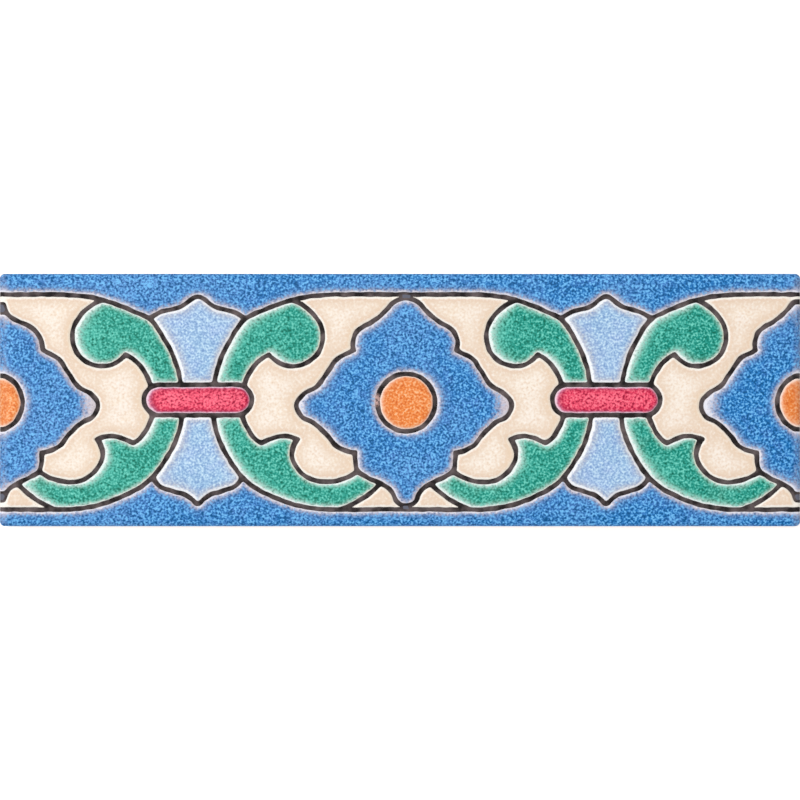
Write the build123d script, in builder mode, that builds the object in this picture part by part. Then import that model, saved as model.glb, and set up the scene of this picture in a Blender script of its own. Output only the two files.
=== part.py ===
"""Border tile of pressed and fired clay, with a scroll and quatrefoil ornament.

Millimetres, +Z up. The origin is the middle of the bedding face, and +X runs along the tile.
"""
import os
from math import pi, sin

from build123d import *

# Blank
tile_length = 152.4
tile_width = 47.9
tile_thickness = 9.5
corner_radius = 0.8
arris_radius = 0.9

# Keying pockets in the bedding face
key_columns = 10
key_rows = 3
key_margin = 5.0
key_land = 2.4
key_depth = 0.5
key_draft = 30

# Dry line that keeps the glazes apart
line_width = 0.86
line_depth = 0.4

# Sideways run, in millimetres, and bend, in radians, that the line's arcs leave out
straight_limit = 0.001
bend_limit = 0.1

# Bands between the long edges and the border lines
upper_band = 3.85
lower_band = 3.1

# Repeats of the ornament. The painter's hand stretched the half motifs unequally, and swung one outwards.
repeats = 2
half_motif_stretch = ((1.021, 1.042), (1.0, 1.0))
half_motif_swing = ((0.016, 0.0), (0.0, 0.0))
end_overrun = 1.2

# Clasp round the scrolls, and roundel in each quatrefoil
clasp_length = 20.6
clasp_height = 5.8
roundel_radius = 5.5
roundel_drop = 0.5

# Master drawing of a half motif, from the clasp's axis to the quatrefoil's axis
drawn_reach = 38.7
drawn_upper_line = 20.1
drawn_lower_line = -20.85

# Points where two strokes meet
crown_foot = (8.9, 15.5)
bulb_root = (17.4, 19.05)
notch = (13.2, 8.7)
base_foot = (8.2, -14.7)
leaf_notch = (11.8, -8.25)
leaf_corner = (18.5, -7.5)
tip_root = (26.4, drawn_lower_line)
upper_step = (29.0, 9.5)
lower_step = (29.2, -10.0)
scroll_touch = (29.7, -13.6)
scroll_tip = (33.95, -15.9)

# Points of the quatrefoil's shoulder
quatrefoil_top = (36.2, 18.5)
shoulder_rise = (35.1, 17.2)
shoulder = (32.3, 14.85)
shoulder_bend = (30.7, 14.0)
shoulder_fall = (29.5, 13.0)

# In the first half motif the painter drew that shoulder lower and farther out
first_shoulder = {
    quatrefoil_top: (0.8, 0.1),
    shoulder_rise: (0.9, -0.8),
    shoulder: (1.6, 0.15),
    shoulder_bend: (0.9, 0.1),
    shoulder_fall: (0.6, -0.2),
}

# The quatrefoil's strokes run a little past its axis, so that its halves join
past_axis = drawn_reach + 0.3

# Strokes of the drawing, each a chain of smooth spans
crown = [(0, 19.75), (1.2, 19.2), (2.4, 18.2), (7.2, 16.5), crown_foot]
base = [(0, -19.8), (1.1, -18.9), (2.4, -18.0), (4.1, -17.5), (7.4, -16.0), base_foot]
upper_scroll = [
    [(3.0, 0), (3.3, 4.4), (5.75, 11.0), crown_foot, (12.15, 17.1), bulb_root, (23.5, 20.0)]
    + [(27.0, drawn_upper_line), (33.0, drawn_upper_line), (drawn_reach, drawn_upper_line)],
]
bulb = [
    [bulb_root, (20.9, 16.9), (23.1, 13.3), (22.7, 9.6), (19.9, 6.95), (16.6, 6.5), (14.8, 7.2), notch],
    [notch, (11.9, 7.9), (9.4, 4.9), (8.4, 1.0)],
]
lower_scroll = [
    [(2.8, 0), (3.1, -4.6), (5.35, -10.5), base_foot, (13.4, -18.2), (19.4, -20.3)]
    + [tip_root, (32.5, drawn_lower_line), (drawn_reach, drawn_lower_line)],
]
leaf = [
    [(7.9, -1.0), (9.4, -5.75), (10.7, -7.5), leaf_notch],
    [leaf_notch, (13.3, -7.5), (14.95, -6.95), leaf_corner],
    [leaf_corner, (17.45, -10.3), (18.95, -13.65), (24.5, -15.6), (26.5, -15.2), scroll_touch],
]
leaf_tip = [[tip_root, (30.4, -18.9), scroll_tip]]
quatrefoil = [
    [(past_axis, 19.4), quatrefoil_top, shoulder_rise, shoulder, shoulder_bend, shoulder_fall, upper_step],
    [upper_step, (27.6, 8.8), (26.2, 8.1), (24.2, 5.5), (22.2, 2.7), (19.5, 1.0), (18.3, -0.7)]
    + [(18.9, -2.7), (21.8, -4.6), (23.5, -6.2), (26.2, -9.1), lower_step],
    [lower_step, (29.2, -11.4), scroll_touch, (31.2, -14.6), scroll_tip, (35.3, -16.7)]
    + [(37.9, -20.0), (past_axis, -20.15)],
]
half_motif = [upper_scroll, bulb, lower_scroll, leaf, leaf_tip, quatrefoil]

# Places on the tile
upper_line_y = tile_width / 2 - upper_band
lower_line_y = lower_band - tile_width / 2
half_repeat = tile_length / (2 * repeats)


def placed(point, half):
    """Fit a point of the drawing into a half motif, given by its start, its reach, its swing and its strays."""
    start, reach, swing, strays = half
    stray_x, stray_y = strays.get(point, (0, 0))
    x, y = point[0] + stray_x, point[1] + stray_y
    share = x / drawn_reach
    rise = upper_line_y / drawn_upper_line if y > 0 else lower_line_y / drawn_lower_line
    return (start + reach * (share + swing * sin(pi * share)), y * rise)


def mirrored(direction, axis):
    """Mirror a direction about a line along axis."""
    return axis * (2 * axis.dot(direction)) - direction


def headings(points):
    """Give the direction of a smooth chain at each of its points, from the chords beside it."""
    chords = [after - before for before, after in zip(points, points[1:])]
    inner = []
    for before, after in zip(chords, chords[1:]):
        blend = before.normalized() * after.length + after.normalized() * before.length
        inner.append(blend.normalized())
    first = mirrored(inner[0], chords[0].normalized())
    last = mirrored(inner[-1], chords[-1].normalized())
    return [first, *inner, last]


def arc_nodes(points):
    """List the nodes of a smooth chain of arcs through points, with the headings there.

    Two arcs run from each point to the next, or one where that bends little at its far end.
    """
    points = [Vector(*point) for point in points]
    directions = headings(points)
    nodes = [(points[0], directions[0])]
    for start, end, leaving, arriving in zip(points, points[1:], directions, directions[1:]):
        chord = end - start
        along = chord.dot(leaving + arriving)
        turn = 2 * (1 - leaving.dot(arriving)) * chord.dot(chord)
        reach = chord.dot(chord) / (along + (along**2 + turn) ** 0.5)
        middle = (start + end + (leaving - arriving) * reach) / 2
        if (mirrored(leaving, chord.normalized()) - arriving).length > bend_limit:
            nodes.append((middle, mirrored(leaving, (middle - start).normalized())))
        nodes.append((end, arriving))
    return nodes


def to_side(heading, side):
    """Give the step from the middle of the line to its edge, to the left of a heading or to the right."""
    return Vector(-heading.Y, heading.X) * side * line_width / 2


def edge_nodes(chains, side):
    """Move chains of nodes to one edge of the line, mitred where two of them meet at a corner."""
    edges = [[(place + to_side(heading, side), heading) for place, heading in nodes] for nodes in chains]
    for nodes, next_nodes, edge, next_edge in zip(chains, chains[1:], edges, edges[1:]):
        corner, heading = nodes[-1]
        next_heading = next_nodes[0][1]
        mitre = to_side(heading + next_heading, side) / (1 + heading.dot(next_heading))
        edge[-1] = (corner + mitre, heading)
        next_edge[0] = (corner + mitre, next_heading)
    return edges


def draw(spans):
    """Draw one stroke of the dry line, a chain of smooth spans that meet at corners."""
    chains = [arc_nodes(points) for points in spans]
    left, right = edge_nodes(chains, 1), edge_nodes(chains, -1)
    with BuildLine() as outline:
        for nodes in left + right:
            for (start, heading), (end, _) in zip(nodes, nodes[1:]):
                if heading.cross(end - start).length > straight_limit:
                    TangentArc(start, end, tangent=heading)
                else:
                    Line(start, end)
        Line(left[0][0][0], right[0][0][0])
        Line(left[-1][-1][0], right[-1][-1][0])
    make_face(outline.edges())


def draw_half(spans, half):
    """Draw a stroke of the drawing in one half motif."""
    draw([[placed(point, half) for point in span] for span in spans])


def draw_across(points, left, right):
    """Draw a stroke that runs from the left half motif into the right one over the clasp's axis."""
    left_points = [placed(point, left) for point in reversed(points[1:])]
    right_points = [placed(point, right) for point in points]
    draw([left_points + right_points])


with BuildSketch(Plane.XY.offset(tile_thickness)) as dry_line:
    axis_x = -tile_length / 2 - end_overrun
    roundel_axes = [axis_x]
    clasp_axes = []
    strays = first_shoulder
    for (left_stretch, right_stretch), (left_swing, right_swing) in zip(half_motif_stretch, half_motif_swing):
        axis_x += half_repeat * left_stretch
        clasp_axes.append(axis_x)
        left = (axis_x, -half_repeat * left_stretch, left_swing, strays)
        strays = {}
        right = (axis_x, half_repeat * right_stretch, right_swing, strays)
        for stroke in half_motif:
            draw_half(stroke, left)
            draw_half(stroke, right)
        draw_across(crown, left, right)
        draw_across(base, left, right)
        axis_x += half_repeat * right_stretch
        roundel_axes.append(axis_x)
    with Locations(*[(x, 0) for x in clasp_axes]):
        SlotOverall(clasp_length + line_width, clasp_height + line_width)
        SlotOverall(clasp_length - line_width, clasp_height - line_width, mode=Mode.SUBTRACT)
    with Locations(*[(x, -roundel_drop) for x in roundel_axes]):
        Circle(roundel_radius + line_width / 2)
        Circle(roundel_radius - line_width / 2, mode=Mode.SUBTRACT)

key_pitch_x = (tile_length - 2 * key_margin + key_land) / key_columns
key_pitch_y = (tile_width - 2 * key_margin + key_land) / key_rows

with BuildPart() as border_tile:
    with BuildSketch():
        RectangleRounded(tile_length, tile_width, corner_radius)
    extrude(amount=tile_thickness)
    fillet(border_tile.faces().sort_by(Axis.Z)[-1].edges(), radius=arris_radius)
    with BuildSketch():
        with GridLocations(key_pitch_x, key_pitch_y, key_columns, key_rows):
            Rectangle(key_pitch_x - key_land, key_pitch_y - key_land)
    extrude(amount=key_depth, taper=key_draft, mode=Mode.SUBTRACT)
    extrude(dry_line.sketch, amount=-line_depth, mode=Mode.SUBTRACT)

border_tile.part.label = "border_tile"

os.makedirs("parts", exist_ok=True)
export_step(border_tile.part, "parts/border_tile.step")
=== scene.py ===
"""Border tile of fired clay with a scroll ornament in coloured glazes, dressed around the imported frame.

Everything is in metres, in the frame of the CAD part: +Z out of the glazed face, +X along the tile.
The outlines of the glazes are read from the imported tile, so the ornament stands where the part has it.
"""
import math

import bmesh
import bpy
import numpy as np
from bpy.props import FloatProperty, FloatVectorProperty, PointerProperty
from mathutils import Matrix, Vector, kdtree, noise
from mathutils.geometry import delaunay_2d_cdt


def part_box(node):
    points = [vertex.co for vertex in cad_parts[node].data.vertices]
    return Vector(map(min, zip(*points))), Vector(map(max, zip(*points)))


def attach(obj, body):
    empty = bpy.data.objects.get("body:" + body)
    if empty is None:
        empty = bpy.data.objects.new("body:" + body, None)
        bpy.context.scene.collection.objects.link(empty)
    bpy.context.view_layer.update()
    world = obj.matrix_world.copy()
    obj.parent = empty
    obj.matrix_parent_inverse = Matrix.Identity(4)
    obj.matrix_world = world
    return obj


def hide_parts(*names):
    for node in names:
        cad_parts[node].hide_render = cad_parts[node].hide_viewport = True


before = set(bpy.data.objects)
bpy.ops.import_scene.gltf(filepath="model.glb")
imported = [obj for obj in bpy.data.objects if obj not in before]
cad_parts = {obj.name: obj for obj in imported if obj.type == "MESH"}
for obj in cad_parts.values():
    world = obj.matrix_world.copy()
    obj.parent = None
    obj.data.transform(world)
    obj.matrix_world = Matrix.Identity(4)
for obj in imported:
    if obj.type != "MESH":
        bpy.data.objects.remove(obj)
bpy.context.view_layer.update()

bl_info = {
    "name": "Glazed Border Tile",
    "version": (1, 0, 0),
    "blender": (4, 5, 0),
    "location": "View3D > Sidebar > Tile",
    "description": "Builds the bisque, the dry line and the glazes of a border tile",
    "category": "Mesh",
}

MM = 0.001
NODE = "border_tile"
BODY = "root"

# How near two places count as the same, two points are merged, and two heights are one level
TOUCH = 0.002 * MM
MERGE = TOUCH / 10
CLOSE = TOUCH / 100
LEVEL = 0.0003 * MM

# Least rise of a face's normal, of 1, at which the face counts as level
UPRIGHT = 0.999

# Shortest and longest run along the tile, then across it, in mm, of the fields that take each glaze
FIELD_GAUGES = (
    ("blue", 140, 160, 6, 9),
    ("blue", 15, 20, 33, 38),
    ("blue", 36, 42, 36, 41),
    ("cream", 26, 31, 34.5, 35.8),
    ("cream", 6, 11, 3, 5),
    ("green", 18, 32, 15, 17.6),
    ("sky", 14, 17.6, 15.6, 16.6),
    ("crimson", 18, 22, 4, 6),
    ("orange", 2, 11, 8.5, 11),
)

# Spacing of the points on an outline and the fewest it has, its rounding by the glaze's surface tension, and
# how many times that reach the rounding takes in
OUTLINE_STEP = 0.25 * MM
FEWEST_POINTS = 8
TENSION = 0.3 * MM
BELL_SPAN = 3

# Distances from the outline, and the spacing along it, in mm, of the rings of points that carry the bank
RINGS = ((0.07, 0.25), (0.19, 0.3), (0.38, 0.38), (0.66, 0.5), (1.05, 0.7), (1.55, 0.95))

# Shares of a ring's distance and spacing that its points keep from other outlines and from other points
RING_CLEARANCE = 0.96
RING_PACKING = 0.55

# Lattice of points in the middle of a field, with the share of its step that its points keep from others
LATTICE_STEP = 1.3 * MM
LATTICE_START = 2.1 * MM
LATTICE_PACKING = 0.6

# Distances beyond the flat face, in mm, of the rows of points that bend over the arris, the spacing along
# them, the turns at each corner, and how far the points stay from the outline and from one another
ARRIS_ROWS = (-0.25, 0.0, 0.25, 0.5, 0.75, 1.0, 1.25, 1.5, 1.75)
ARRIS_STEP = 0.5 * MM
CORNER_TURNS = 6
ARRIS_CLEARANCE = 0.12 * MM
ARRIS_SPACING = 0.22 * MM

# How far the coats go down under the floor of the line, so that nothing shows between them and the clay
GLAZE_ROOT = 0.05 * MM
LINE_ROOT = 0.1 * MM

# Where a glaze thins towards the arris, measured from the rim of the flat face, the share of it that is left,
# and the width over which it ends
THIN_FROM = -1.2 * MM
THIN_TO = 1.0 * MM
THIN_SHARE = 0.3
LIP_WIDTH = 0.5 * MM

# Rings of points in the dry line, in mm as above, how far it reaches under the glazes, in mm, and the share
# of that reach within which its faces are kept
LINE_RINGS = ((0.2, 0.3), (0.41, 0.35), (0.8, 0.5))
LINE_UNDERLAP = 0.35
UNDERLAP_RINGS = ((LINE_UNDERLAP, 0.35),)
UNDERLAP_KEPT = 0.9

# Half the width of the dry line's bead, and how far the line runs down the tile's sides
BEAD_WIDTH = 0.43 * MM
LINE_DROP = 0.3 * MM


# Kinds of node that are used most
MATH = "ShaderNodeMath"
VECTOR_MATH = "ShaderNodeVectorMath"
MIX = "ShaderNodeMix"
MAP_RANGE = "ShaderNodeMapRange"
NOISE = "ShaderNodeTexNoise"


def linear(code):
    """Turn an sRGB hex colour into linear red, green and blue."""
    channels = [int(code[i:i + 2], 16) / 255 for i in (1, 3, 5)]
    return tuple(c / 12.92 if c <= 0.04045 else ((c + 0.055) / 1.055) ** 2.4 for c in channels)


def add_node(tree, kind, inputs=(), **settings):
    """Add a node to a tree with its settings, its values and its links.

    A node given as a value stands for its first output.
    """
    node = tree.nodes.new(kind)
    for name, value in settings.items():
        setattr(node, name, value)
    for socket, value in dict(inputs).items():
        if isinstance(value, bpy.types.Node):
            value = value.outputs[0]
        if isinstance(value, bpy.types.NodeSocket):
            tree.links.new(value, node.inputs[socket])
        else:
            node.inputs[socket].default_value = value
    return node


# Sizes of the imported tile

class Tile:
    """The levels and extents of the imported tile, with its merged mesh."""

    def __init__(self):
        self.mesh = bmesh.new()
        self.mesh.from_mesh(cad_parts[NODE].data)
        bmesh.ops.remove_doubles(self.mesh, verts=self.mesh.verts, dist=MERGE)
        self.mesh.normal_update()
        self.low, self.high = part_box(NODE)
        self.face = self.level(self.high.z)
        self.floor_z = min(f.verts[0].co.z for f in self.mesh.faces if self.is_upper(f))
        corners = [v.co for f in self.face for v in f.verts]
        self.half_length = max(co.x for co in corners)
        self.half_width = max(co.y for co in corners)
        self.arris = self.high.x - self.half_length

    def is_upper(self, face):
        """Tell whether a face looks up from the glazed side."""
        return face.normal.z > UPRIGHT and face.verts[0].co.z > self.high.z / 2

    def level(self, height):
        """List the faces that look up at one height."""
        upper = [face for face in self.mesh.faces if self.is_upper(face)]
        return [face for face in upper if abs(face.calc_center_median().z - height) < LEVEL]

    def beyond(self, x, y):
        """Give how far a place lies beyond the flat face, towards the edges."""
        return math.hypot(max(abs(x) - self.half_length, 0), max(abs(y) - self.half_width, 0))

    def on_rim(self, x, y):
        """Tell whether a place is on the rim of the flat face."""
        return abs(x) > self.half_length - TOUCH or abs(y) > self.half_width - TOUCH


def connected(faces):
    """Split faces into groups that hang together by their edges."""
    left = set(faces)
    groups = []
    for seed in faces:
        if seed not in left:
            continue
        left.discard(seed)
        group, front = [], [seed]
        while front:
            face = front.pop()
            group.append(face)
            for edge in face.edges:
                for other in edge.link_faces:
                    if other in left:
                        left.discard(other)
                        front.append(other)
        groups.append(group)
    return groups


def outline_loops(faces):
    """Give the closed outlines of a group of faces as flat points, with the group on their left."""
    inside = set(faces)
    following = {}
    for face in faces:
        for loop in face.loops:
            if any(other not in inside for other in loop.edge.link_faces):
                following[loop.vert] = loop.link_loop_next.vert
    loops = []
    while following:
        start, vert = following.popitem()
        points = [start.co.xy]
        while vert is not start:
            points.append(vert.co.xy)
            vert = following.pop(vert)
        loops.append(points)
    return loops


def rim_stations(tile, step):
    """List places round the rim of the flat face, counterclockwise, with the normals there."""
    a, b = tile.half_length, tile.half_width
    corners = [Vector((a, -b)), Vector((a, b)), Vector((-a, b)), Vector((-a, -b))]
    stations = []
    for corner, target in zip(corners, corners[1:] + corners[:1]):
        run = target - corner
        normal = Vector((run.y, -run.x)).normalized()
        before = Vector((normal.y, -normal.x))
        for turn in range(1, CORNER_TURNS):
            angle = turn / CORNER_TURNS * math.pi / 2
            stations.append((corner, before * math.cos(angle) + normal * math.sin(angle)))
        count = round(run.length / step)
        for index in range(count + 1):
            stations.append((corner + run * index / count, normal))
    return stations


def nearest_station(stations, place, ahead):
    """Give the index of the station next to a place on the rim, ahead of it or behind it."""
    best = min(range(len(stations)), key=lambda i: (stations[i][0] - place).length)
    base, normal = stations[best]
    along = Vector((-normal.y, normal.x)).dot(base - place)
    if ahead and along < 0:
        return (best + 1) % len(stations)
    if not ahead and along > 0:
        return (best - 1) % len(stations)
    return best


def spread_over_rim(tile, points, stations, reach):
    """Carry an outline that ends on the rim of the flat face on by reach, as the glaze runs over the arris.

    Gives the new points, and for each whether it is on the glaze's lip.
    """
    count = len(points)
    rim = [tile.on_rim(*point) for point in points]
    if not any(rim):
        return points, [False] * count
    first = next(i for i in range(count) if not rim[i - 1] and rim[i])
    order = [(first + i) % count for i in range(count)]
    placed, lip = [], []
    i = 0
    while i < count:
        point = points[order[i]]
        if not rim[order[i]]:
            placed.append(point)
            lip.append(False)
            i += 1
            continue
        last = i
        while last + 1 < count and rim[order[last + 1]]:
            last += 1
        end = points[order[last]]
        station = nearest_station(stations, point, True)
        stop = nearest_station(stations, end, False)
        placed.append(point)
        lip.append(False)
        run = [(point, stations[station][1])]
        if (end - point).length > 2 * ARRIS_STEP:
            while station != stop:
                run.append(stations[station])
                station = (station + 1) % len(stations)
            run.append(stations[stop])
        run.append((end, stations[stop][1]))
        for base, normal in run:
            placed.append(base + normal * reach(base))
            lip.append(True)
        placed.append(end)
        lip.append(False)
        i = last + 1
    return placed, lip


def resampled(points, flags, step):
    """Space points evenly round a closed outline. A new point keeps a flag that both its neighbours have."""
    closed = np.array([tuple(p) for p in points] + [tuple(points[0])])
    lengths = np.hypot(*np.diff(closed, axis=0).T)
    places = np.concatenate([[0], np.cumsum(lengths)])
    count = max(FEWEST_POINTS, round(places[-1] / step))
    wanted = np.arange(count) * places[-1] / count
    x = np.interp(wanted, places, closed[:, 0])
    y = np.interp(wanted, places, closed[:, 1])
    segment = np.clip(np.searchsorted(places, wanted, side="right") - 1, 0, len(points) - 1)
    flags = np.array(flags)
    kept = flags[segment] & flags[(segment + 1) % len(flags)]
    return np.stack([x, y], axis=1), kept


def smoothed(points, step, reach):
    """Round a closed, evenly spaced outline with a bell-shaped weight of this reach."""
    span = math.ceil(BELL_SPAN * reach / step)
    weights = [math.exp(-0.5 * (i * step / reach) ** 2) for i in range(-span, span + 1)]
    total = sum(w * np.roll(points, i, axis=0) for i, w in zip(range(-span, span + 1), weights))
    return total / sum(weights)


def left_normals(points):
    """Give the unit normals on the left of a closed outline."""
    run = np.roll(points, -1, axis=0) - np.roll(points, 1, axis=0)
    run /= np.hypot(*run.T)[:, None]
    return np.stack([-run[:, 1], run[:, 0]], axis=1)


def wobbled(points, height, length, seed):
    """Push an outline in and out a little, as a glaze's edge creeps."""
    moves = [noise.noise(Vector((x / length, y / length, seed))) * height for x, y in points]
    return points + left_normals(points) * np.array(moves)[:, None]


def contains(loops, places):
    """Tell which places lie inside closed outlines, by counting crossings."""
    inside = np.zeros(len(places), bool)
    x, y = places[:, 0], places[:, 1]
    for loop in loops:
        for (x0, y0), (x1, y1) in zip(loop, np.roll(loop, -1, axis=0)):
            if y0 != y1:
                spans = (y0 > y) != (y1 > y)
                inside ^= spans & (x < x0 + (y - y0) * (x1 - x0) / (y1 - y0))
    return inside


def point_tree(points):
    """Index flat points by their place."""
    tree = kdtree.KDTree(len(points))
    for index, (x, y) in enumerate(points):
        tree.insert((x, y, 0), index)
    tree.balance()
    return tree


class Scatter:
    """Points that keep a distance from one another, sorted into square cells."""

    CELL = 0.25 * MM

    def __init__(self):
        self.cells = {}
        self.points = []

    def add(self, x, y, apart):
        """Keep a point if no other is nearer than apart."""
        reach = math.ceil(apart / self.CELL)
        column, row = math.floor(x / self.CELL), math.floor(y / self.CELL)
        for i in range(column - reach, column + reach + 1):
            for j in range(row - reach, row + reach + 1):
                for other in self.cells.get((i, j), ()):
                    if math.hypot(other[0] - x, other[1] - y) < apart:
                        return
        self.cells.setdefault((column, row), []).append((x, y))
        self.points.append((x, y))


def ring_points(loops, tree, rings, scatter, side=1):
    """Add rings of points beside outlines, nearest first, each as far from every outline as its ring is."""
    for distance, spacing in rings:
        skip = max(1, round(spacing * MM / OUTLINE_STEP))
        for loop in loops:
            places = loop + left_normals(loop) * distance * MM * side
            for x, y in places[::skip]:
                if tree.find((x, y, 0))[2] > RING_CLEARANCE * distance * MM:
                    scatter.add(x, y, RING_PACKING * spacing * MM)


def arris_points(tile, loops, tree, stations, scatter):
    """Add rows of points along the arris, where the glaze bends over it."""
    rows = [base + normal * row * MM for row in ARRIS_ROWS for base, normal in stations]
    places = np.array([tuple(place) for place in rows])
    for (x, y), inside in zip(places, contains(loops, places)):
        if inside and tree.find((x, y, 0))[2] > ARRIS_CLEARANCE:
            scatter.add(x, y, ARRIS_SPACING)


def lattice_points(loops, tree, scatter):
    """Add a triangular lattice of points in the middle of a field."""
    outline = np.concatenate(loops)
    low, high = outline.min(axis=0), outline.max(axis=0)
    rise = LATTICE_STEP * math.sqrt(3) / 2
    rows = range(int((high[1] - low[1]) / rise) + 1)
    columns = range(int((high[0] - low[0]) / LATTICE_STEP) + 1)
    places = np.array([
        (low[0] + (column + row % 2 / 2) * LATTICE_STEP, low[1] + row * rise)
        for row in rows for column in columns
    ])
    for (x, y), inside in zip(places, contains(loops, places)):
        if inside and tree.find((x, y, 0))[2] > LATTICE_START:
            scatter.add(x, y, LATTICE_PACKING * LATTICE_STEP)


def triangulated(loops, inner):
    """Triangulate the plane between closed outlines and through inner points."""
    points = [tuple(p) for loop in loops for p in loop] + inner
    edges, start = [], 0
    for loop in loops:
        count = len(loop)
        edges += [(start + i, start + (i + 1) % count) for i in range(count)]
        start += count
    return delaunay_2d_cdt([Vector(p) for p in points], edges, [], 0, CLOSE)


class Sheet:
    """A flat triangulated sheet, and the slab of no thickness that a tree of nodes gives its height."""

    def __init__(self):
        self.points = []
        self.faces = []
        self.shore = set()
        self.lip = set()

    def add_field(self, loops, lips, inner):
        """Triangulate a field between its outlines, through its inner points."""
        flags = [bool(flag) for lip in lips for flag in lip]
        places, edges, faces, origins, edge_origins, _ = triangulated(loops, inner)
        flat = np.array([tuple(place) for place in places])
        inside = contains(loops, np.array([flat[list(face)].mean(axis=0) for face in faces]))
        offset = len(self.points)
        self.points += [tuple(place) for place in flat]
        self.faces += [tuple(offset + i for i in face) for face, within in zip(faces, inside) if within]
        on_lip = [any(i < len(flags) and flags[i] for i in origin) for origin in origins]
        for (i, j), origin in zip(edges, edge_origins):
            if origin:
                kind = self.lip if on_lip[i] and on_lip[j] else self.shore
                kind.add(frozenset((offset + i, offset + j)))

    def keep(self, faces):
        """Keep only these faces, and the points that they use."""
        used = sorted({i for face in faces for i in face})
        new = {old: index for index, old in enumerate(used)}
        self.points = [self.points[i] for i in used]
        self.faces = [tuple(new[i] for i in face) for face in faces]
        for name in ("shore", "lip"):
            edges = [edge for edge in getattr(self, name) if all(i in new for i in edge)]
            setattr(self, name, {frozenset(new[i] for i in edge) for edge in edges})

    def slab(self, name):
        """Make a closed object from the sheet, its underside and its walls, all still at one height."""
        count = len(self.points)
        directed = {(face[i - 1], face[i]) for face in self.faces for i in range(len(face))}
        walls = [(i + count, j + count, j, i) for i, j in directed if (j, i) not in directed]
        under = [tuple(i + count for i in reversed(face)) for face in self.faces]
        mesh = bpy.data.meshes.new(name)
        mesh.from_pydata([(x, y, 0) for x, y in self.points * 2], [], self.faces + under + walls)
        under_flags = mesh.attributes.new("under", "FLOAT", "POINT")
        under_flags.data.foreach_set("value", [0.0] * count + [1.0] * count)
        keys = [frozenset(edge.vertices) for edge in mesh.edges]
        for kind in ("shore", "lip"):
            flags = mesh.attributes.new(kind + "_edge", "BOOLEAN", "EDGE")
            flags.data.foreach_set("value", [key in getattr(self, kind) for key in keys])
        rims = {frozenset(edge) for wall in walls for edge in (wall[:2], wall[2:])}
        sharp = mesh.attributes.new("sharp_edge", "BOOLEAN", "EDGE")
        sharp.data.foreach_set("value", [key in rims for key in keys])
        piece = bpy.data.objects.new(name, mesh)
        bpy.context.scene.collection.objects.link(piece)
        return piece


def glaze_of(loops):
    """Name the glaze of a field by its size, as the painter fills it."""
    outline = np.array([tuple(p) for loop in loops for p in loop])
    length, width = (outline.max(axis=0) - outline.min(axis=0)) / MM
    for glaze, shortest, longest, narrowest, widest in FIELD_GAUGES:
        if shortest < length < longest and narrowest < width < widest:
            return glaze
    raise RuntimeError(f"no glaze for a field {length:.1f} mm long and {width:.1f} mm wide")


def glaze_fields(tile, sizes):
    """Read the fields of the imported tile, with outlines as the glazes take them. Gives them by glaze."""
    stations = rim_stations(tile, ARRIS_STEP)
    bend = tile.arris * math.pi / 2

    def reach(base):
        waver = noise.noise(Vector((base.x, base.y, 0)) / sizes.lip_wave)
        return bend + sizes.lip_drop + sizes.lip_waver * waver

    fields = {}
    for seed, faces in enumerate(connected(tile.face)):
        loops = outline_loops(faces)
        outlines, lips = [], []
        for points in loops:
            placed, lip = spread_over_rim(tile, points, stations, reach)
            even, lip = resampled(placed, lip, OUTLINE_STEP)
            even = smoothed(even, OUTLINE_STEP, TENSION)
            outlines.append(wobbled(even, sizes.creep, sizes.creep_wave, seed))
            lips.append(lip)
        fields.setdefault(glaze_of(loops), []).append((outlines, lips))
    return fields


# Trees of nodes that give the sheets their shape

# Sizes of the tile that the wrapping takes
WRAP_SIZES = ("Half Length", "Half Width", "Arris Radius", "Base Height")

# How many times the side that the line is on is blurred from point to point
FLANK_BLUR = 3


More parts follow.
